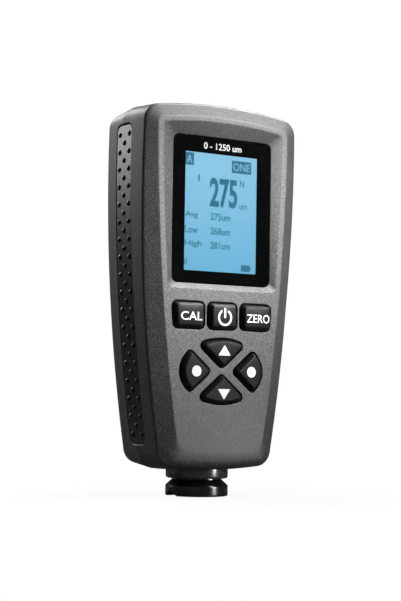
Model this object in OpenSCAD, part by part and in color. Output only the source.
// Hand-held coating thickness gauge, standing upright on its probe sleeve.
// X is to the right, Y to the back and Z up. The origin is the middle of the sleeve's foot.

/* [Case] */
// Widest width of the case
case_w = 54; // [52:0.1:58]
// Height of the case from its lower edge to its crown
case_h = 106.3; // [105:0.1:112]
// Drop of the case's widest place below its crown
widest_down = 18.6; // [10:0.1:30]
// Radius of the long side curves
side_r = 500; // [450:10:700]
// Radius of the crown
crown_r = 150; // [110:1:200]
// Radius of the lower edge
foot_r = 150; // [75:1:200]
// Radius of the two top corners
top_corner_r = 5.5; // [5:0.1:7.5]
// Radius of the two bottom corners
foot_corner_r = 5.5; // [5:0.1:7]
// Depth of the case in front of the parting plane
front_d = 12.3; // [12:0.1:15]
// Depth of the case behind the parting plane
rear_d = 13.5; // [13.5:0.1:17]
// Wall of the outer skin
skin_wall = 2.4; // [1.8:0.1:2.8]
// Wall of the belt along the parting plane, which backs the side grips
belt_wall = 3.8; // [3.6:0.1:4.4]
// Half height of that belt, measured across the parting plane
belt_d = 6.2; // [5.5:0.1:7]
// Break of the edge on each side of the parting line
seam = 0.15; // [0.05:0.05:0.3]
// Thickness of the tongue that locates the two halves
tongue_t = 0.9; // [0.6:0.1:1]
// Reach of that tongue into the front half
tongue_d = 1; // [0.6:0.1:1.5]

/* [Front face] */
// Step from the widest side of the case in to the widest side of the front face
face_in = 4.5; // [3.5:0.05:5]
// Drop of the front face's widest place below the crown of the case
face_widest_down = 1.6; // [0:0.1:10]
// Radius of the long edges of the front face
face_side_r = 600; // [500:10:900]
// Step from the crown of the case down to the crown of the front face
face_top_in = 4.4; // [3.5:0.1:5.5]
// Step from the lower edge of the case up to the lower edge of the front face
face_foot_in = 5; // [4:0.1:7]
// Radius of the top corners of the front face
face_top_corner_r = 2.4; // [1.5:0.1:3.5]
// Radius of the bottom corners of the front face
face_foot_corner_r = 4; // [2:0.1:5]
// Draft of the side walls from the parting plane to the bevel
side_draft = 0.6; // [0.4:0.1:1.6]
// Depth of the bevel's outer edge in front of the parting plane, near the foot
bevel_low_d = 9.6; // [8:0.1:10]
// Depth of the bevel's outer edge in front of the parting plane, near the crown
bevel_top_d = 11; // [9:0.1:11.5]
// Extra roundness of the bevel at the foot
foot_bulge = 0.8; // [0:0.1:1]
// Step from the edge of the front face in to the hollow behind it
hollow_in = 1; // [0.8:0.1:1.2]
// Width of the rim round the display
rim_w = 1.8; // [1.4:0.1:2.4]

/* [Back] */
// Draft of the side walls from the parting plane to the rear rounding
rear_draft = 1; // [0.3:0.05:1.2]
// Radius of the rounding into the back
rear_round = 4.8; // [3:0.1:5]

/* [Display] */
// Step from the widest side of the front face in to the window
window_side = 5.5; // [5:0.1:6.5]
// Drop of the window's upper edge below the crown of the case
window_down = 10.05; // [9.5:0.05:12]
// Height of the window's lower edge above the lower edge of the case
window_up = 53.6; // [53:0.1:54.5]
// Corner radius of the window
window_corner_r = 2; // [1:0.1:3]
// Thickness of the window
window_t = 1; // [0.8:0.1:1.5]
// Depth of the window's face below the front face
window_sink = 0.8; // [0.4:0.1:1.2]
// Ledge that carries the window
ledge_t = 0.6; // [0.5:0.1:1]
// Step from the recess' lower edge up to the window
recess_step = 1.5; // [0.8:0.1:2]
// Corner radius of the recess round the window
recess_corner_r = 1.5; // [1:0.1:2]
// Border of the window beside the visible area
view_side = 4.58; // [4:0.01:6]
// Border of the window above the visible area
view_down = 4.75; // [4:0.05:8]
// Height of the visible area above the window's lower edge
view_up = 3.8; // [3:0.1:5]
// Border of the display glass above and below the visible area
lcd_border = 1.9; // [1.5:0.1:2.4]
// Border of the display glass beside the visible area
lcd_side = 2.5; // [2:0.1:2.5]
// Margin of the opening behind the window round the visible area
view_margin = 0.5; // [0.2:0.1:0.8]
// Thickness of the display glass
lcd_t = 2; // [1.5:0.1:2.5]
// Thickness of the backlight
backlight_t = 2.9; // [2.5:0.1:3.5]

/* [Keys] */
// Height of the key row's lower edge above the lower edge of the case
row_up = 40.5; // [39.5:0.1:41]
// Height of the openings in the key row
row_h = 8.15; // [7:0.05:8.5]
// Width of the middle opening in the key row
row_mid_w = 10.55; // [9:0.05:11.5]
// Step from the widest side of the front face in to the key row
row_in = 5.155; // [4.8:0.005:6.6]
// Web between the openings in the key row
row_web = 0.62; // [0.55:0.01:1.2]
// Lean of the row's outer edges, which follow the taper of the face
row_lean = 0.6; // [0:0.05:1]
// Corner radius of the row's openings
row_corner_r = 1.9; // [1:0.1:2.5]
// Height of the oval key group's centre above the lower edge of the case
oval_up = 28.75; // [28:0.05:29.5]
// Step from the widest side of the front face in to the oval key group
oval_in = 8.15; // [7.9:0.05:9.5]
// Half height of the oval key group
oval_b = 9.65; // [9:0.05:10]
// Width of the bars between the four keys
bar_w = 2.3; // [1.9:0.1:3]
// Slope of those bars
bar_angle = 40; // [38:1:48]
// Shift of those bars from the oval's centre towards the keys at its two ends
bar_shift = 0.85; // [0:0.05:1]
// Corner radius of the four openings
oval_corner_r = 1.5; // [1.2:0.1:2]
// Height of the keys above the front face
key_proud = 1.5; // [1:0.1:2]
// Rounding of the keys' top edges
key_round = 0.9; // [0.4:0.1:1.2]
// Gap between a key and its opening
key_gap = 0.4; // [0.2:0.01:0.45]
// Overlap of a key's flange behind the face
key_flange = 0.55; // [0.4:0.05:0.6]
// Thickness of a key's flange
key_flange_t = 0.8; // [0.6:0.1:1]
// Travel of the keys
key_travel = 0.6; // [0.4:0.05:0.8]
// Thickness of the key mat's sheet
mat_t = 1; // [0.8:0.1:1.2]
// Radius of the mat's domes
dome_r = 2.2; // [1.5:0.1:2.4]
// Gap between a dome and a key that is fully pressed
dome_gap = 0.2; // [0.1:0.05:0.3]

/* [Side grips] */
// Height of a grip slot's lower end above the lower edge of the case
grip_up = 7.5; // [7:0.1:12]
// Drop of a grip slot's upper end below the crown of the case
grip_down = 7.2; // [6.8:0.1:18]
// Width of a grip slot
grip_w = 8.7; // [8:0.1:9.5]
// Corner radius of a grip slot
grip_corner_r = 2.2; // [2:0.1:3.9]
// Depth of a grip's face below the side
grip_sink = 0.5; // [0.4:0.1:1.4]
// Thickness of a grip
grip_t = 0.9; // [0.8:0.1:1.1]
// Radius of a stud's foot
stud_r = 0.65; // [0.5:0.05:0.75]
// Height of a stud
stud_h = 0.5; // [0.4:0.05:0.6]
// Step between studs along the grip
stud_step = 5.05; // [4.6:0.05:7]
// Least distance of a stud's middle from the end of its slot
stud_margin = 2.6; // [2:0.1:4]
// Step between the columns of studs
stud_column = 2.6; // [2.2:0.1:2.8]

/* [Probe] */
// Reach of the free tip below the sleeve, pressed level while the gauge stands
tip_reach = 0.4; // [0.3:0.05:0.6]
// Radius of the tip
tip_r = 1.45; // [1.2:0.05:1.7]
// Radius of the sleeve's foot
disc_r = 9.13; // [8.5:0.01:10]
// Height of the sleeve's foot
disc_h = 3; // [2.5:0.1:4]
// Height of the cone above the foot
cone_h = 1.7; // [1.2:0.1:2.2]
// Radius of the sleeve's neck
neck_r = 7.25; // [7:0.05:7.8]
// Height of the neck that shows
neck_h = 0.4; // [0.2:0.1:1]
// Width of the V groove across the foot
vee_w = 5.4; // [4:0.1:6.5]
// Depth of the V groove
vee_d = 1.5; // [1:0.1:2]
// Break of the foot's lower edge
foot_break = 0.3; // [0.1:0.05:0.6]
// Radius of the collar
collar_r = 9.1; // [8.9:0.05:10]
// Height of the collar below the case
collar_h = 2.2; // [1.5:0.1:3]
// Rounding of the collar's lower edge
collar_round = 0.6; // [0.3:0.1:1]
// Radius of the pad inside the case that the sleeve's flange sits on
pad_r = 11.5; // [11:0.1:12]
// Height of that pad's top above the lower edge of the case
pad_up = 4.3; // [4.2:0.1:5]
// Radius of the sleeve's flange
sleeve_flange_r = 9; // [8.5:0.1:10]
// Thickness of the sleeve's flange
sleeve_flange_t = 1.5; // [1:0.1:2]
// Radius of the sleeve's tube
tube_r = 6.5; // [6.3:0.1:7]
// Height of the tube's top above the sleeve's flange seat
tube_up = 10.4; // [10:0.1:11]
// Radius of the plunger
plunger_r = 4; // [3.8:0.1:4.2]
// Radius of the plunger's flange
plunger_flange_r = 5.2; // [5:0.05:5.25]
// Thickness of the plunger's flange
plunger_flange_t = 1.2; // [1:0.1:1.5]
// Height of the plunger's end above the sleeve's foot
plunger_up = 0.9; // [0.7:0.1:1.2]
// Length of the tip's tail inside the cup
tip_tail = 1; // [0.8:0.1:1.5]
// Radial room round the plunger's flange and the spring
flange_room = 0.3; // [0.25:0.05:0.4]
// Height of the tip's dome
dome_h = 0.5; // [0.4:0.05:0.7]
// Wall of the plunger's cup
cup_wall = 0.7; // [0.6:0.05:0.8]
// Floor of the plunger's cup
cup_floor = 1.3; // [1:0.1:1.6]
// Height of the core's head
core_head = 3; // [2:0.1:4]
// Depth of the plunger's stop below the sleeve's flange seat
stop_down = 0.6; // [0.3:0.1:1]
// Travel of the plunger
plunger_travel = 1.2; // [0.8:0.1:1.5]
// Mean radius of the probe spring
spring_r = 4.5; // [4.3:0.1:4.6]
// Radius of the probe spring's wire
spring_wire = 0.3; // [0.2:0.05:0.4]
// Turns of the probe spring
spring_turns = 5; // [4:1:7]
// Length of the retainer's plug
plug_len = 2.5; // [2:0.1:3]
// Thickness of the retainer's cap
cap_t = 1; // [0.8:0.1:1.5]
// Radius of the retainer's spigot, which stops the plunger
spigot_r = 3.2; // [2.5:0.1:3.6]
// Radius of the lead hole in the retainer
lead_hole_r = 1.6; // [1:0.1:2]

/* [Board] */
// Thickness of the board
board_t = 1.6; // [1:0.1:1.8]
// Inset of the board from the outside of the case
board_in = 5.2; // [4.8:0.1:5.6]
// Height of the board's lower edge above the lower edge of the case
board_up = 18.4; // [18.2:0.1:18.8]
// Drop of the board's upper edge below the crown of the case
board_down = 13.9; // [13:0.1:18]
// Height of the main chip above the board's lower edge
chip_up = 8; // [4:0.5:14]
// Side of the main chip
chip_w = 10; // [7:0.5:12]
// Thickness of the main chip
chip_t = 1.2; // [0.8:0.1:1.5]
// Inset of the board's posts from the widest side of the case
post_in = 9.35; // [9.25:0.05:9.45]
// Height of the lower posts above the window's lower edge
post_low = 0.2; // [0:0.1:1]
// Drop of the upper posts below the window's upper edge
post_down = 9.65; // [7:0.05:13]
// Radius of the board's posts
post_r = 1.6; // [1.5:0.05:1.7]

/* [Battery] */
// Radius of a cell
cell_r = 5.25; // [5:0.05:5.3]
// Length of a cell without its nub
cell_len = 43.5; // [42:0.1:44]
// Radius of a cell's nub
nub_r = 1.9; // [1.5:0.1:2.5]
// Length of a cell's nub
nub_len = 1; // [0.8:0.1:1.5]
// Gap between the two cells
cell_apart = 0.7; // [0.4:0.1:1.2]
// Room between a cell and the tray
cell_room = 0.15; // [0.1:0.05:0.3]
// Length of a compressed contact spring
contact_len = 5.1; // [4:0.1:6]
// Thickness of a contact plate
contact_t = 0.4; // [0.3:0.05:0.6]
// Radius of a contact spring's wire
contact_wire = 0.35; // [0.3:0.05:0.5]
// Turns of a contact spring
contact_turns = 4; // [3:1:6]
// Inset of a contact spring's wide end from the side of its cell
contact_coil_in = 1.9; // [1.8:0.1:2.3]
// Inset of a contact plate from the side of its cell
contact_plate_in = 1.4; // [1.4:0.1:1.5]
// Wall of the battery tray
tray_wall = 1.2; // [1:0.1:1.6]
// Drop of the tray's inside below the crown of the case
tray_down = 18.2; // [17.5:0.1:19]
// Thickness of the door
door_t = 1.5; // [1.3:0.1:1.8]
// Ledge that the door sits on
door_ledge = 1.1; // [0.9:0.1:1.4]
// Overlap of the door past the tray at the sides and top
door_lap = 2; // [1.6:0.1:2.5]
// Length of the door below the tray, which takes its screw
door_tail = 6.6; // [6.4:0.1:8]
// Drop of the door's screw below the tray
door_screw_down = 3.6; // [3.4:0.1:3.9]
// Corner radius of the door
door_corner_r = 2; // [1:0.1:3]
// Gap round the door
door_gap = 0.15; // [0.1:0.05:0.3]
// Width of the door's tongues
latch_w = 4; // [3:0.1:5]
// Reach of the door's tongues under the ledge
latch_reach = 1.4; // [1:0.1:1.6]
// Thickness of the door's tongues
latch_t = 1; // [0.8:0.1:1.3]

/* [Fasteners] */
// Radius of a case screw's shank
screw_r = 1.25; // [1:0.05:1.35]
// Radius of a case screw's head
screw_head_r = 2.2; // [1.8:0.05:2.3]
// Thickness of a case screw's head
screw_head_t = 1.5; // [1:0.1:1.8]
// Depth of a case screw's head below the back
screw_sink = 0.4; // [0.2:0.1:0.6]
// Reach of a case screw into the front half
screw_bite = 6; // [4:0.5:7]
// Radius of the bosses that take the case screws
boss_r = 2.8; // [2.6:0.1:2.9]
// Inset of the upper case screws from the widest side of the case
boss_top_in = 8.65; // [8.25:0.1:8.75]
// Drop of the upper case screws below the crown
boss_top_down = 9.6; // [9.4:0.1:9.8]
// Inset of the lower case screws from the widest side of the case
boss_foot_in = 14.05; // [13.65:0.1:14.15]
// Height of the lower case screws above the lower edge
boss_foot_up = 13; // [12.6:0.1:13.4]
// Radius of a small screw's shank
small_screw_r = 0.95; // [0.8:0.05:1]
// Radius of a small screw's head
small_head_r = 1.8; // [1.6:0.05:1.9]
// Thickness of a small screw's head
small_head_t = 0.8; // [0.6:0.05:0.9]
// Bite of a small screw
small_bite = 4; // [3:0.1:4.5]
// Spare depth of a blind screw hole
hole_spare = 0.5; // [0.3:0.1:0.8]
// Floor of a blind screw hole
hole_floor = 1.5; // [1:0.1:2]

/* [Fits] */
// Clearance between fixed pieces
fit = 0.1; // [0.05:0.01:0.15]
// Radial clearance of the plunger in the sleeve
run_fit = 0.05; // [0.02:0.01:0.08]
// Rest gap between a moving piece's flange and its stop
rest_gap = 0.05; // [0.02:0.01:0.1]

/* [Hidden] */
$fn = 48;
far = 200;
eps = 0.01;
// Overshoot of cuts, and overlap of pieces that are joined
over = 1;
root = 0.5;

// Heights of the probe, from the foot up
foot_z = 0;
collar_z = foot_z + disc_h + cone_h + neck_h;
case_z = collar_z + collar_h;
pad_z = case_z + pad_up;
stop_z = pad_z - stop_down;
tube_z = pad_z + tube_up;
plunger_z = foot_z + plunger_up;
flange_z = stop_z + rest_gap + tip_reach;
plunger_top_z = flange_z + plunger_flange_t;
spring_top_z = tube_z - plug_len;
spigot_z = plunger_top_z + plunger_travel - tip_reach + rest_gap;
core_z = plunger_z + cup_floor + tip_tail;
head_z = plunger_top_z - core_head;
chamber_r = plunger_flange_r + flange_room;

// Half widths, and heights measured down from the crown
case_half = case_w / 2;
face_half = case_half - face_in;
window_half = face_half - window_side;
view_half = window_half - view_side;
row_half = face_half - row_in;
oval_a = face_half - oval_in;
post_x = case_half - post_in;
boss_top_x = case_half - boss_top_in;
boss_foot_x = case_half - boss_foot_in;
crown_z = case_z + case_h;
widest_z = crown_z - widest_down;
face_widest_z = crown_z - face_widest_down;
grip_z = case_z + grip_up;
board_z = case_z + board_up;
grip_len = case_h - grip_up - grip_down;

// Depths of the front, from the face back
face_y = -front_d;
window_y = face_y + window_sink;
inner_y = window_y + window_t + ledge_t;
board_y = inner_y + lcd_t + backlight_t;
board_back_y = board_y + board_t;
post_hole_y = board_back_y - small_bite - hole_spare;
key_top_y = face_y - key_proud;
flange_y = inner_y + rest_gap;
flange_back_y = flange_y + key_flange_t;
dome_y = flange_back_y + key_travel + dome_gap;

// Depths of the back, from the rear face forward
door_y = rear_d - door_t;
rear_inner_y = door_y - door_ledge;
cell_y = rear_inner_y - cell_r;
tray_floor_y = cell_y - cell_r - cell_room;
cell_x = cell_r + cell_apart / 2;
tray_half_w = cell_x + cell_r + cell_room;
tray_top_z = crown_z - tray_down;
tray_z = tray_top_z - 2 * contact_t - contact_len - cell_len - nub_len;
door_screw_z = tray_z - door_screw_down;
door_hole_y = door_y - small_bite - hole_spare;
head_y = rear_d - screw_sink;
latch_root = contact_t + nub_len - 2 * fit;

// Heights of the display
window_z = case_z + window_up;
window_top_z = crown_z - window_down;
view_z = window_z + view_up;
view_top_z = window_top_z - view_down;
lcd_half = view_half + lcd_side;
lcd_z = view_z - lcd_border;
lcd_top_z = view_top_z + lcd_border;

// Outlines: half width, its height, side radius, top, crown radius, foot, foot radius, corner radii
flat_r = 3000;
case_form = [case_half, widest_z, side_r, crown_z, crown_r, case_z, foot_r,
    top_corner_r, foot_corner_r];
face_form = [face_half, face_widest_z, face_side_r, crown_z - face_top_in, crown_r - face_top_in,
    case_z + face_foot_in, foot_r, face_top_corner_r, face_foot_corner_r];
recess_form = [face_half - rim_w, face_widest_z, face_side_r - rim_w,
    crown_z - face_top_in - rim_w, crown_r - face_top_in - rim_w,
    window_z - recess_step, flat_r, recess_corner_r, recess_corner_r];
window_form = [window_half, (window_z + window_top_z) / 2, flat_r, window_top_z, flat_r,
    window_z, flat_r, window_corner_r, window_corner_r];

// Smallest corner of an outline, and facets of its foot, corners, side and crown
corner_min = 0.2;
foot_n = 5;
side_n = 12;
corner_n = 6;
crown_n = 7;

// Points on an arc about c, without its first point
function arc(c, r, a0, a1, n) =
    [for (i = [1:n]) let (a = a0 + (a1 - a0) * i / n) c + r * [cos(a), sin(a)]];

// Direction of a vector, in degrees
function heading(v) = atan2(v[1], v[0]);

// Where two circles meet, on the left of the line from c1 to c2 for s = 1 and on its right for s = -1
function meet(c1, r1, c2, r2, s) =
    let (
        v = c2 - c1,
        l = norm(v),
        u = v / l,
        a = (l * l + r1 * r1 - r2 * r2) / (2 * l),
        h = sqrt(max(r1 * r1 - a * a, 0))
    )
    c1 + a * u + s * h * [-u[1], u[0]];

// Right half of an outline from its foot to its crown, moved in by d
function half_outline(form, d) =
    let (
        side = [form[0] - form[2], form[1]],
        crown = [0, form[3] - form[4]],
        foot = [0, form[5] + form[6]],
        rt = max(form[7] - d, corner_min),
        rf = max(form[8] - d, corner_min),
        ct = meet(side, form[2] - d - rt, crown, form[4] - d - rt, 1),
        cf = meet(side, form[2] - d - rf, foot, form[6] - d - rf, -1)
    )
    concat(
        [[0, form[5] + d]],
        arc(foot, form[6] - d, -90, heading(cf - foot), foot_n),
        arc(cf, rf, heading(cf - foot), heading(cf - side), corner_n),
        arc(side, form[2] - d, heading(cf - side), heading(ct - side), side_n),
        arc(ct, rt, heading(ct - side), heading(ct - crown), corner_n),
        arc(crown, form[4] - d, heading(ct - crown), 90, crown_n)
    );

// Whole outline, anticlockwise seen from the front
function outline(form, d = 0) =
    let (right = half_outline(form, d), n = len(right))
    concat(right, [for (i = [n - 2:-1:1]) [-right[i][0], right[i][1]]]);

// An outline set at depth y
function ring(form, d, y) = [for (p = outline(form, d)) [p[0], y, p[1]]];

// Outer edge of the bevel, which comes forward from bevel_start to bevel_end of the case's height
bevel_start = 0.45;
bevel_end = 0.95;
function bevel_y(z) =
    let (share = min(max(((z - case_z) / case_h - bevel_start) / (bevel_end - bevel_start), 0), 1))
    -(bevel_low_d + (bevel_top_d - bevel_low_d) * share);
function bevel_ring() = [for (p = outline(case_form, side_draft)) [p[0], bevel_y(p[1]), p[1]]];

// Middle of the bevel, pushed out round the foot in full below bulge_low and fading out at bulge_high
bulge_low = 4;
bulge_high = 9;
function bulge_ring(a, b) =
    [for (i = [0:len(a) - 1])
        let (m = (a[i] + b[i]) / 2, up = m[2] - case_z,
            share = min(max((bulge_high - up) / (bulge_high - bulge_low), 0), 1))
        m - foot_bulge * share * [0, 1, 1]];

// Closed skin through rings that follow one another from the back to the front
module loft(rings) {
    n = len(rings[0]);
    last = len(rings) - 1;
    points = [for (r = rings) each r];
    back = [for (j = [0:n - 1]) j];
    front = [for (j = [n - 1:-1:0]) last * n + j];
    sides = [for (i = [0:last - 1], j = [0:n - 1])
        let (k = (j + 1) % n)
        each [
            [i * n + j, (i + 1) * n + j, (i + 1) * n + k],
            [i * n + j, (i + 1) * n + k, i * n + k]
        ]];
    polyhedron(points, concat([back, front], sides));
}

// Prism of a front-view outline from depth y0 to depth y1
module prism(points, y0, y1)
    translate([0, y1, 0])
        rotate([90, 0, 0])
            linear_extrude(y1 - y0) polygon(points);

// Round bar along Y
module bar(x, z, r, y0, y1)
    translate([x, y1, z])
        rotate([90, 0, 0])
            cylinder(h = y1 - y0, r = r);

// Block between two corners
module block(a, b)
    translate(a) cube(b - a);

// Half space in front of the parting plane for s = -1, behind it for s = 1
module half_space(s)
    translate([-far / 2, s < 0 ? -far : 0, -far / 2]) cube([far, far, 2 * far]);

// Coil of round wire about Z
module coil_spring(r0, r1, z0, z1, turns, wire) {
    steps = 12 * turns;
    sides = 6;
    points = [for (i = [0:steps], j = [0:sides - 1])
        let (
            t = i / steps,
            a = 360 * turns * t,
            b = 360 * j / sides,
            r = r0 + (r1 - r0) * t + wire * cos(b)
        )
        [r * cos(a), r * sin(a), z0 + wire + (z1 - z0 - 2 * wire) * t + wire * sin(b)]];
    start = [for (j = [0:sides - 1]) j];
    end = [for (j = [sides - 1:-1:0]) steps * sides + j];
    skin = [for (i = [0:steps - 1], j = [0:sides - 1])
        let (k = (j + 1) % sides)
        each [
            [i * sides + j, (i + 1) * sides + j, (i + 1) * sides + k],
            [i * sides + j, (i + 1) * sides + k, i * sides + k]
        ]];
    polyhedron(points, concat([start, end], skin));
}

// Outside of the front half
module front_skin() {
    edge = bevel_ring();
    face = ring(face_form, 0, face_y);
    loft([
        ring(case_form, seam, 0),
        ring(case_form, 0, -seam),
        edge,
        bulge_ring(edge, face),
        face
    ]);
}

// Inside of the front half
module front_hollow()
    loft([
        ring(case_form, belt_wall, over),
        ring(case_form, belt_wall, -belt_d),
        ring(case_form, side_draft * belt_d / bevel_low_d + skin_wall, -belt_d - eps),
        ring(face_form, hollow_in, inner_y)
    ]);

// Rings of a rounding of radius r from depth y forward, which ends at inset d
function rounding(d, r, y, steps) =
    [for (i = [steps:-1:0])
        let (a = 90 * i / steps)
        ring(case_form, d + r * (1 - cos(a)), y - r * (1 - sin(a)))];

// Outside of the rear half, with the tongue that enters the front half
module rear_skin() {
    loft(concat(
        rounding(rear_draft, rear_round, rear_d, 6),
        [ring(case_form, 0, seam), ring(case_form, seam, 0)]
    ));
    loft([
        ring(case_form, belt_wall - tongue_t, over),
        ring(case_form, belt_wall - tongue_t, -tongue_d)
    ]);
}

// Inside of the rear half
module rear_hollow()
    loft(concat(
        rounding(rear_draft + skin_wall, max(rear_round - skin_wall, corner_min), rear_inner_y, 3),
        [
            ring(case_form, rear_draft * belt_d / rear_d + skin_wall, belt_d + eps),
            ring(case_form, belt_wall, belt_d),
            ring(case_form, belt_wall, -2 * tongue_d)
        ]
    ));

// Channel in the front half that takes the tongue
module tongue_channel()
    difference() {
        loft([
            ring(case_form, belt_wall - tongue_t - fit, over),
            ring(case_form, belt_wall - tongue_t - fit, -tongue_d - fit)
        ]);
        loft([
            ring(case_form, belt_wall + fit, 2 * over),
            ring(case_form, belt_wall + fit, -2 * tongue_d)
        ]);
    }

// Long slot outline of a side grip, as a bar along X on the right side
module grip_bar(gap) {
    half = grip_w / 2 - gap;
    r = grip_corner_r - gap;
    z0 = grip_z + gap;
    z1 = grip_z + grip_len - gap;
    block([0, -half, z0 + r], [far, half, z1 - r]);
    block([0, -half + r, z0], [far, half - r, z1]);
    for (y = [-half + r, half - r], z = [z0 + r, z1 - r])
        translate([0, y, z]) rotate([0, 90, 0]) cylinder(h = far, r = r);
}

// Everything within the case outline moved in by d, across the width of the grips
module side_core(d)
    prism(outline(case_form, d), -grip_w, grip_w);

// Slots for both grips
module grip_slots()
    for (s = [0, 1])
        mirror([s, 0, 0])
            difference() {
                grip_bar(0);
                side_core(grip_sink + grip_t);
            }

// Half width of the case outline, moved in by d, at height z
function half_width(z, d) =
    case_half - side_r + sqrt(pow(side_r - d, 2) - pow(z - widest_z, 2));

// Studded insert of the right side
module grip() {
    pairs = floor((grip_len - 2 * stud_margin) / stud_step) + 1;
    z0 = grip_z + grip_len / 2 - (pairs - 1) * stud_step / 2;
    difference() {
        intersection() {
            grip_bar(fit);
            side_core(grip_sink);
        }
        side_core(grip_sink + grip_t);
    }
    for (i = [0:pairs - 1], c = [-1, 1])
        stud(c * stud_column, z0 + i * stud_step);
    for (i = [0:pairs - 2])
        stud(0, z0 + (i + 0.5) * stud_step);
}

// One pointed stud of a grip, rooted in its face
stud_root = 0.1;
stud_tip = 0.25;
module stud(y, z)
    translate([half_width(z, grip_sink) - stud_root, y, z])
        rotate([0, 90, 0])
            cylinder(h = stud_h, r1 = stud_r, r2 = stud_tip * stud_r, $fn = 8);

// Places of the case screws, as [x, z]
function boss_places() = [for (s = [-1, 1]) each [
    [s * boss_top_x, crown_z - boss_top_down],
    [s * boss_foot_x, case_z + boss_foot_up]
]];

// Places of the board's posts, as [x, z]
function post_places() =
    [for (s = [-1, 1], z = [window_z + post_low, window_top_z - post_down]) [s * post_x, z]];

// Half of the collar and of the pad that clamp the sleeve
module probe_clamp(s)
    intersection() {
        union() {
            translate([0, 0, collar_z])
                rotate_extrude()
                    union() {
                        square([collar_r - collar_round, collar_round * 2]);
                        translate([0, collar_round]) square([collar_r, collar_h + over - collar_round]);
                        translate([collar_r - collar_round, collar_round]) circle(collar_round);
                    }
            intersection() {
                translate([0, 0, case_z + over]) cylinder(h = pad_up - over, r = pad_r);
                if (s < 0) front_skin();
                if (s > 0) rear_skin();
            }
        }
        half_space(s);
    }

// Seat of the sleeve's neck and flange in the two halves
module probe_seat() {
    translate([0, 0, collar_z - over]) cylinder(h = pad_z - collar_z + over, r = neck_r + fit);
    translate([0, 0, pad_z]) cylinder(h = sleeve_flange_t + fit, r = sleeve_flange_r + fit);
}

// Openings of the key row: 0 left, 1 middle, 2 right, as corners [x, z] anticlockwise
function row_corners(i) =
    let (
        z0 = case_z + row_up,
        z1 = z0 + row_h,
        m = row_mid_w / 2,
        a = m + row_web,
        b = row_half
    )
    i == 1 ? [[-m, z0], [m, z0], [m, z1], [-m, z1]]
    : i == 2 ? [[a, z0], [b - row_lean, z0], [b, z1], [a, z1]]
    : [[-b + row_lean, z0], [-a, z0], [-a, z1], [-b, z1]];

// Unit normal to the right of an edge, which points out of an anticlockwise outline
function edge_normal(p, q) = let (v = (q - p) / norm(q - p)) [v[1], -v[0]];

// Round-cornered outline through convex corners, moved in by d
function rounded(corners, r, d) =
    let (n = len(corners))
    [for (i = [0:n - 1])
        let (
            p = corners[i],
            n0 = edge_normal(corners[(i + n - 1) % n], p),
            n1 = edge_normal(p, corners[(i + 1) % n]),
            c = p - r * (n0 + n1) / (1 + n0 * n1),
            a0 = heading(n0),
            turn = heading([n0 * n1, n0[0] * n1[1] - n0[1] * n1[0]])
        )
        each [for (j = [0:6]) let (a = a0 + turn * j / 6) c + (r - d) * [cos(a), sin(a)]]];

// Point of the oval at parameter t, moved in by d along its normal
function oval_point(t, d) =
    let (g = [cos(t) / oval_a, sin(t) / oval_b])
    [oval_a * cos(t), oval_b * sin(t)] - d * g / norm(g);
function oval_heading(t) = heading([cos(t) / oval_a, sin(t) / oval_b]);

// Distance from the oval's centre to the edge of a bar, on the side of the key at angle m
function bar_edge(m) = bar_w / 2 + (m % 180 == 0 ? bar_shift : -bar_shift);

// Parameter at which the oval, moved in by the corner radius, lies that far from an edge at angle a
function corner_t(a, edge, lo, hi, n) =
    let (
        t = (lo + hi) / 2,
        p = oval_point(t, oval_corner_r),
        away = p[1] * cos(a) - p[0] * sin(a)
    )
    n == 0 ? t
    : away > edge + oval_corner_r ? corner_t(a, edge, lo, t, n - 1)
    : corner_t(a, edge, t, hi, n - 1);

// Outline of the oval's opening centred at angle m: 0 right, 90 up, 180 left, 270 down
function oval_opening(m, d) =
    let (
        half = m % 180 == 0 ? bar_angle : 90 - bar_angle,
        edge = bar_edge(m),
        t0 = corner_t(m - half, edge, m - 90, m, 30),
        t1 = 2 * m - t0,
        r = oval_corner_r,
        tip = (edge + r) / sin(half) * [cos(m), sin(m)],
        c0 = oval_point(t0, r),
        c1 = oval_point(t1, r),
        swing = (oval_heading(t0) - (m - half - 90) + 720) % 360,
        open = 180 - 2 * half
    )
    [for (p = concat(
        [for (j = [0:6]) let (a = m + 180 - open / 2 + open * j / 6) tip + (r - d) * [cos(a), sin(a)]],
        [for (j = [0:6]) let (a = m - half - 90 + swing * j / 6) c0 + (r - d) * [cos(a), sin(a)]],
        [for (j = [1:9]) oval_point(t0 + (t1 - t0) * j / 10, d)],
        [for (j = [6:-1:0]) let (a = m + half + 90 - swing * j / 6) c1 + (r - d) * [cos(a), sin(a)]]
    )) p + [0, case_z + oval_up]];

// Opening k of the face, moved in by d: 0 to 2 are the row, 3 to 6 the oval from its right key round
function opening(k, d) =
    k < 3 ? rounded(row_corners(k), row_corner_r, d) : oval_opening((k - 3) * 90, d);

// Middle of opening k
function opening_centre(k) =
    let (p = opening(k, 0), n = len(p))
    [for (i = [0, 1]) (max([for (q = p) q[i]]) + min([for (q = p) q[i]])) / 2];

// Key cap in opening k, with rounded top edges and a flange behind the face
module key_cap(k) {
    steps = 4;
    low_y = key_top_y + key_round;
    side = [for (p = opening(k, key_gap)) [p[0], flange_back_y, p[1]]];
    top = [for (i = [0:steps])
        let (a = 90 * i / steps)
        [for (p = opening(k, key_gap + key_round * (1 - cos(a)))) [p[0], low_y - key_round * sin(a), p[1]]]];
    loft(concat([side], top));
    if (k < 3) {
        c = opening(k, key_gap);
        x0 = min([for (p = c) p[0]]) + row_corner_r;
        x1 = max([for (p = c) p[0]]) - row_corner_r;
        z0 = case_z + row_up - key_flange;
        block([x0, flange_y, z0], [x1, flange_back_y, z0 + row_h + 2 * key_flange]);
    } else {
        prism(opening(k, -key_flange), flange_y, flange_back_y);
    }
}

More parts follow.
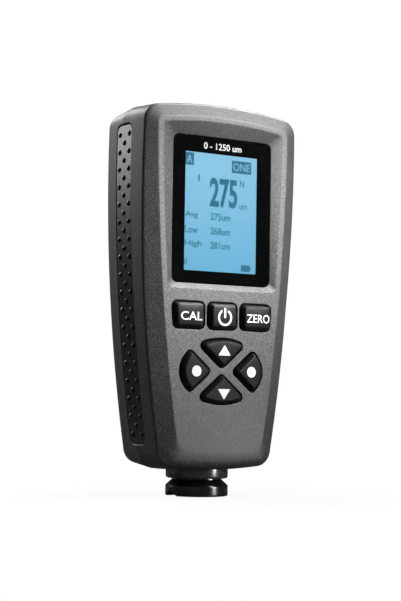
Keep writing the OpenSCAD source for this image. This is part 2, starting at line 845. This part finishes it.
module front_shell()
    color("#4b4c4f")
        difference() {
            union() {
                difference() {
                    front_skin();
                    front_hollow();
                }
                probe_clamp(-1);
                for (p = boss_places()) bar(p[0], p[1], boss_r, inner_y - root, 0);
                for (p = post_places()) bar(p[0], p[1], post_r, inner_y - root, board_y);
            }
            loft([
                ring(window_form, 0, window_y + eps),
                ring(window_form, 0, window_y),
                ring(recess_form, 0, face_y),
                ring(recess_form, 0, face_y - over)
            ]);
            prism(outline(window_form), window_y - eps, window_y + window_t);
            block([-view_half - view_margin, window_y, view_z - view_margin],
                [view_half + view_margin, inner_y + over, view_top_z + view_margin]);
            for (k = [0:6]) prism(opening(k, 0), face_y - over, inner_y + over);
            tongue_channel();
            grip_slots();
            probe_seat();
            for (p = boss_places()) bar(p[0], p[1], screw_r + fit / 2, -screw_bite - hole_spare, over);
            for (p = post_places())
                bar(p[0], p[1], small_screw_r + fit / 2, post_hole_y, board_y + over);
        }

module rear_shell()
    color("#434447")
        difference() {
            union() {
                difference() {
                    rear_skin();
                    rear_hollow();
                }
                probe_clamp(1);
                for (p = boss_places()) bar(p[0], p[1], boss_r, 0, rear_inner_y + root);
                block([-tray_half_w - tray_wall, tray_floor_y - tray_wall, tray_z - tray_wall],
                    [tray_half_w + tray_wall, rear_inner_y + root, tray_top_z + tray_wall]);
                bar(0, door_screw_z, boss_r, door_hole_y - hole_floor, rear_inner_y + root);
            }
            block([-tray_half_w, tray_floor_y, tray_z], [tray_half_w, rear_d + over, tray_top_z]);
            prism(door_outline(0), door_y, rear_d + over);
            for (s = [-1, 1])
                block([s * cell_x - latch_w / 2 - fit, rear_inner_y - latch_t - 2 * fit, tray_top_z - over],
                    [s * cell_x + latch_w / 2 + fit, rear_inner_y, tray_top_z + latch_reach + fit]);
            grip_slots();
            probe_seat();
            for (p = boss_places()) {
                bar(p[0], p[1], screw_r + fit, -over, rear_d);
                bar(p[0], p[1], screw_head_r + fit, head_y - screw_head_t, rear_d + over);
            }
            bar(0, door_screw_z, small_screw_r + fit / 2, door_hole_y, door_y + over);
        }

module left_grip()
    color("#1b1b1c") mirror([1, 0, 0]) grip();

module right_grip()
    color("#1b1b1c") grip();

module display_window()
    color("#0c0c0e") prism(outline(window_form, fit), window_y, window_y + window_t);

module lcd_panel()
    color("#8fd0f2")
        block([-lcd_half, inner_y, lcd_z], [lcd_half, inner_y + lcd_t, lcd_top_z]);

module lcd_backlight()
    color("#e8eef2")
        block([-lcd_half, inner_y + lcd_t, lcd_z], [lcd_half, board_y, lcd_top_z]);

module main_board()
    color("#1d5a34")
        difference() {
            intersection() {
                prism(outline(case_form, board_in), board_y, board_back_y);
                block([-far, -far, board_z], [far, far, crown_z - board_down]);
            }
            for (p = post_places())
                bar(p[0], p[1], small_screw_r + fit, board_y - over, board_back_y + over);
        }

module main_chip()
    color("#202022")
        block([-chip_w / 2, board_back_y, board_z + chip_up],
            [chip_w / 2, board_back_y + chip_t, board_z + chip_up + chip_w]);

module key_cal()
    color("#222224") key_cap(0);

module key_power()
    color("#222224") key_cap(1);

module key_zero()
    color("#222224") key_cap(2);

module key_right()
    color("#222224") key_cap(3);

module key_up()
    color("#222224") key_cap(4);

module key_left()
    color("#222224") key_cap(5);

module key_down()
    color("#222224") key_cap(6);

// Rubber sheet on the board with a dome behind each key, which tapers to a share of its foot
dome_share = 0.7;
module key_mat()
    color("#6d6f72") {
        block([-oval_a, board_y - mat_t, case_z + oval_up - oval_b],
            [oval_a, board_y, case_z + row_up + row_h]);
        for (k = [0:6]) {
            c = opening_centre(k);
            translate([c[0], board_y - root, c[1]])
                rotate([90, 0, 0])
                    cylinder(h = board_y - root - dome_y, r1 = dome_r, r2 = dome_share * dome_r);
        }
    }

// Sleeve that stands on the work and carries the sprung plunger
module probe_sleeve()
    color("#161617")
        difference() {
            rotate_extrude()
                polygon([
                    [plunger_r + run_fit, foot_z],
                    [disc_r - foot_break, foot_z],
                    [disc_r, foot_z + foot_break],
                    [disc_r, foot_z + disc_h],
                    [neck_r, foot_z + disc_h + cone_h],
                    [neck_r, pad_z],
                    [sleeve_flange_r, pad_z],
                    [sleeve_flange_r, pad_z + sleeve_flange_t],
                    [tube_r, pad_z + sleeve_flange_t],
                    [tube_r, tube_z],
                    [chamber_r, tube_z],
                    [chamber_r, stop_z],
                    [plunger_r + run_fit, stop_z]
                ]);
            translate([-far / 2, 0, foot_z])
                rotate([90, 0, 90])
                    linear_extrude(far)
                        polygon([[-vee_w, -vee_d], [vee_w, -vee_d], [0, vee_d]]);
        }

module probe_plunger()
    color("#2a2a2c")
        rotate_extrude()
            polygon([
                [tip_r + fit / 2, plunger_z],
                [plunger_r, plunger_z],
                [plunger_r, flange_z],
                [plunger_flange_r, flange_z],
                [plunger_flange_r, plunger_top_z],
                [plunger_r - cup_wall, plunger_top_z],
                [plunger_r - cup_wall, plunger_z + cup_floor],
                [tip_r + fit / 2, plunger_z + cup_floor]
            ]);

module probe_core()
    color("#8a8c90")
        rotate_extrude()
            polygon([
                [0, core_z],
                [tip_r, core_z],
                [tip_r, head_z],
                [plunger_r - cup_wall - fit / 2, head_z],
                [plunger_r - cup_wall - fit / 2, plunger_top_z],
                [0, plunger_top_z]
            ]);

module probe_coil()
    color("#b5652b")
        translate([0, 0, plunger_z + cup_floor])
            difference() {
                cylinder(h = head_z - plunger_z - cup_floor, r = plunger_r - cup_wall - fit);
                translate([0, 0, -over]) cylinder(h = far, r = tip_r + fit / 2);
            }

// Hard domed tip on the end of the core
module probe_tip()
    color("#c9ccd1") {
        ball_r = (tip_r * tip_r + dome_h * dome_h) / (2 * dome_h);
        intersection() {
            cylinder(h = core_z, r = tip_r);
            translate([0, 0, ball_r]) union() {
                sphere(ball_r);
                translate([0, 0, dome_h - ball_r]) cylinder(h = far, r = ball_r);
            }
        }
    }

module probe_spring()
    color("#a9adb3")
        coil_spring(spring_r, spring_r, plunger_top_z + rest_gap, spring_top_z, spring_turns, spring_wire);

module probe_retainer()
    color("#2f3033")
        rotate_extrude()
            polygon([
                [lead_hole_r, spigot_z],
                [spigot_r, spigot_z],
                [spigot_r, spring_top_z],
                [chamber_r - fit / 2, spring_top_z],
                [chamber_r - fit / 2, tube_z],
                [tube_r, tube_z],
                [tube_r, tube_z + cap_t],
                [lead_hole_r, tube_z + cap_t]
            ]);

// Outline of the battery door's seat, moved in by d
function door_outline(d) =
    let (
        x = tray_half_w + door_lap,
        z0 = tray_z - door_tail,
        z1 = tray_top_z + door_lap
    )
    rounded([[-x, z0], [x, z0], [x, z1], [-x, z1]], door_corner_r, d);

module battery_door()
    color("#434447")
        difference() {
            union() {
                prism(door_outline(door_gap), door_y, rear_d);
                for (s = [-1, 1]) {
                    x0 = s * cell_x - latch_w / 2;
                    block([x0, rear_inner_y - latch_t - fit, tray_top_z - latch_root],
                        [x0 + latch_w, rear_inner_y - fit, tray_top_z + latch_reach]);
                    block([x0, rear_inner_y - latch_t - fit, tray_top_z - latch_root],
                        [x0 + latch_w, door_y + root, tray_top_z - fit]);
                }
            }
            bar(0, door_screw_z, small_screw_r + fit, door_y - over, rear_d + over);
            bar(0, door_screw_z, small_head_r + fit, rear_d - small_head_t - fit, rear_d + over);
        }

// One cell, its nub up
module cell() {
    cylinder(h = cell_len, r = cell_r);
    translate([0, 0, cell_len]) cylinder(h = nub_len, r = nub_r);
}

module battery_left()
    color("#3f6fb0")
        translate([-cell_x, cell_y, tray_z + contact_t + contact_len]) cell();

module battery_right()
    color("#3f6fb0")
        translate([cell_x, cell_y, tray_top_z - contact_t - contact_len]) mirror([0, 0, 1]) cell();

// Contact plate at the end of the cells centred from x0 to x1, standing on height z
module contact_plate(x0, x1, z) {
    half = cell_r - contact_plate_in;
    block([x0 - half, cell_y - half, z], [x1 + half, cell_y + half, z + contact_t]);
}

module contact_bridge()
    color("#c4c6c9") contact_plate(-cell_x, cell_x, tray_z);

module contact_left()
    color("#c4c6c9") contact_plate(-cell_x, -cell_x, tray_top_z - contact_t);

module contact_right()
    color("#c4c6c9") contact_plate(cell_x, cell_x, tray_top_z - contact_t);

// Conical contact spring, wide end down
module contact_coil()
    coil_spring(cell_r - contact_coil_in, cell_r / 2, 0, contact_len, contact_turns, contact_wire);

module contact_spring_left()
    color("#c4c6c9") translate([-cell_x, cell_y, tray_z + contact_t]) contact_coil();

module contact_spring_right()
    color("#c4c6c9") translate([cell_x, cell_y, tray_top_z - contact_t]) mirror([0, 0, 1]) contact_coil();

// Screw along Y with its head behind y, driven towards the front
module screw(x, z, y, r, len, head_r, head_t) {
    bar(x, z, r, y - len, y);
    bar(x, z, head_r, y, y + head_t);
}

module case_screws()
    color("#8d9094")
        for (p = boss_places()) {
            seat_y = head_y - screw_head_t;
            screw(p[0], p[1], seat_y, screw_r, seat_y + screw_bite, screw_head_r, screw_head_t);
        }

module board_screws()
    color("#8d9094")
        for (p = post_places())
            screw(p[0], p[1], board_back_y, small_screw_r, small_bite, small_head_r, small_head_t);

module door_screw()
    color("#8d9094") {
        seat_y = rear_d - small_head_t - fit;
        screw(0, door_screw_z, seat_y, small_screw_r, small_bite, small_head_r, small_head_t);
    }

front_shell();
rear_shell();
left_grip();
right_grip();
display_window();
lcd_panel();
lcd_backlight();
main_board();
main_chip();
key_cal();
key_power();
key_zero();
key_up();
key_down();
key_left();
key_right();
key_mat();
probe_sleeve();
probe_plunger();
probe_core();
probe_coil();
probe_tip();
probe_spring();
probe_retainer();
battery_door();
battery_left();
battery_right();
contact_bridge();
contact_left();
contact_right();
contact_spring_left();
contact_spring_right();
case_screws();
board_screws();
door_screw();
